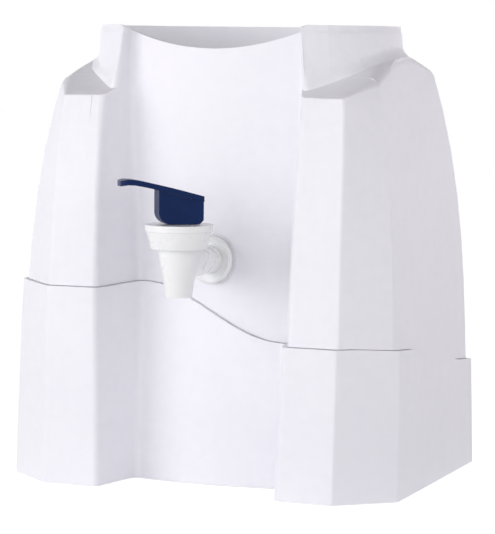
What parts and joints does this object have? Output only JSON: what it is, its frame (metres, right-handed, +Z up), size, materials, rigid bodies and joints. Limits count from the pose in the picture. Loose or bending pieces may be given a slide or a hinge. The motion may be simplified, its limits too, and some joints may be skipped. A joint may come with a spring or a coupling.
{
  "type": "water jug dispenser stand",
  "caption": "Countertop stand for an upturned water jug: two-part white casing with an open round collar, hanging tank, lift-off seat and push-lever tap with a navy lever.",
  "frame": {"origin": "on the table under the middle of the whole, tap lever included", "axes": "+X to the right seen from the front, +Y towards the back, +Z up; the tap is on the front, -Y"},
  "size_m": [0.2792, 0.2678, 0.31],
  "materials": {
    "casing_plastic": "white moulded plastic with a fine satin grain",
    "tank_plastic": "milky food-grade plastic, satin",
    "soft_ring": "pale grey soft sealing rubber",
    "foot_rubber": "dark grey rubber",
    "screw_steel": "zinc-plated steel",
    "spring_steel": "drawn stainless wire",
    "tap_plastic": "smooth semi-gloss white plastic",
    "lever_plastic": "glossy navy plastic"
  },
  "bodies": {
    "casing": {"upper_shell": "casing_plastic", "base_shell": "casing_plastic", "water_tank": "tank_plastic", "foot_front_left": "foot_rubber", "foot_front_right": "foot_rubber", "foot_back_left": "foot_rubber", "foot_back_right": "foot_rubber", "casing_screw_front_left": "screw_steel", "casing_screw_front_right": "screw_steel", "casing_screw_back_left": "screw_steel", "casing_screw_back_right": "screw_steel", "tap_body": "tap_plastic", "tap_bonnet": "tap_plastic", "bonnet_seal": "soft_ring", "tap_flange": "tap_plastic", "front_gasket": "soft_ring", "tank_gasket": "soft_ring", "backing_washer": "tap_plastic", "shank_nut": "tap_plastic", "valve_spring": "spring_steel"},
    "seat": {"bottle_seat": "casing_plastic", "bottle_ring": "soft_ring"},
    "valve": {"valve_plug": "soft_ring"},
    "stem": {"valve_stem": "tap_plastic", "lever_pin": "lever_plastic"},
    "lever": {"tap_lever": "lever_plastic"}
  },
  "joints": [
    {"name": "seat_lift", "type": "slide", "parent": "casing", "child": "seat", "axis": [0, 0, 1], "range_m": [0, 0.08]},
    {"name": "valve_lift", "type": "slide", "parent": "casing", "child": "valve", "axis": [0, 0, 1], "range_m": [0, 0.0032], "deforming": ["valve_spring"]},
    {"name": "lever_swivel", "type": "hinge", "parent": "valve", "child": "stem", "pos_m": [0, -0.10447, 0.153], "axis": [0, 0, 1], "continuous": true},
    {"name": "lever_press", "type": "hinge", "parent": "stem", "child": "lever", "pos_m": [0, -0.10447, 0.1893], "axis": [0.6157, -0.788, 0], "range_deg": [0, 25], "stiffness_Nm_per_rad": 0.0735, "springref_deg": -40.91}
  ],
  "couplings": [
    {"joint": "valve_lift", "follows": "lever_press", "m_per_rad": 0.007}
  ]
}
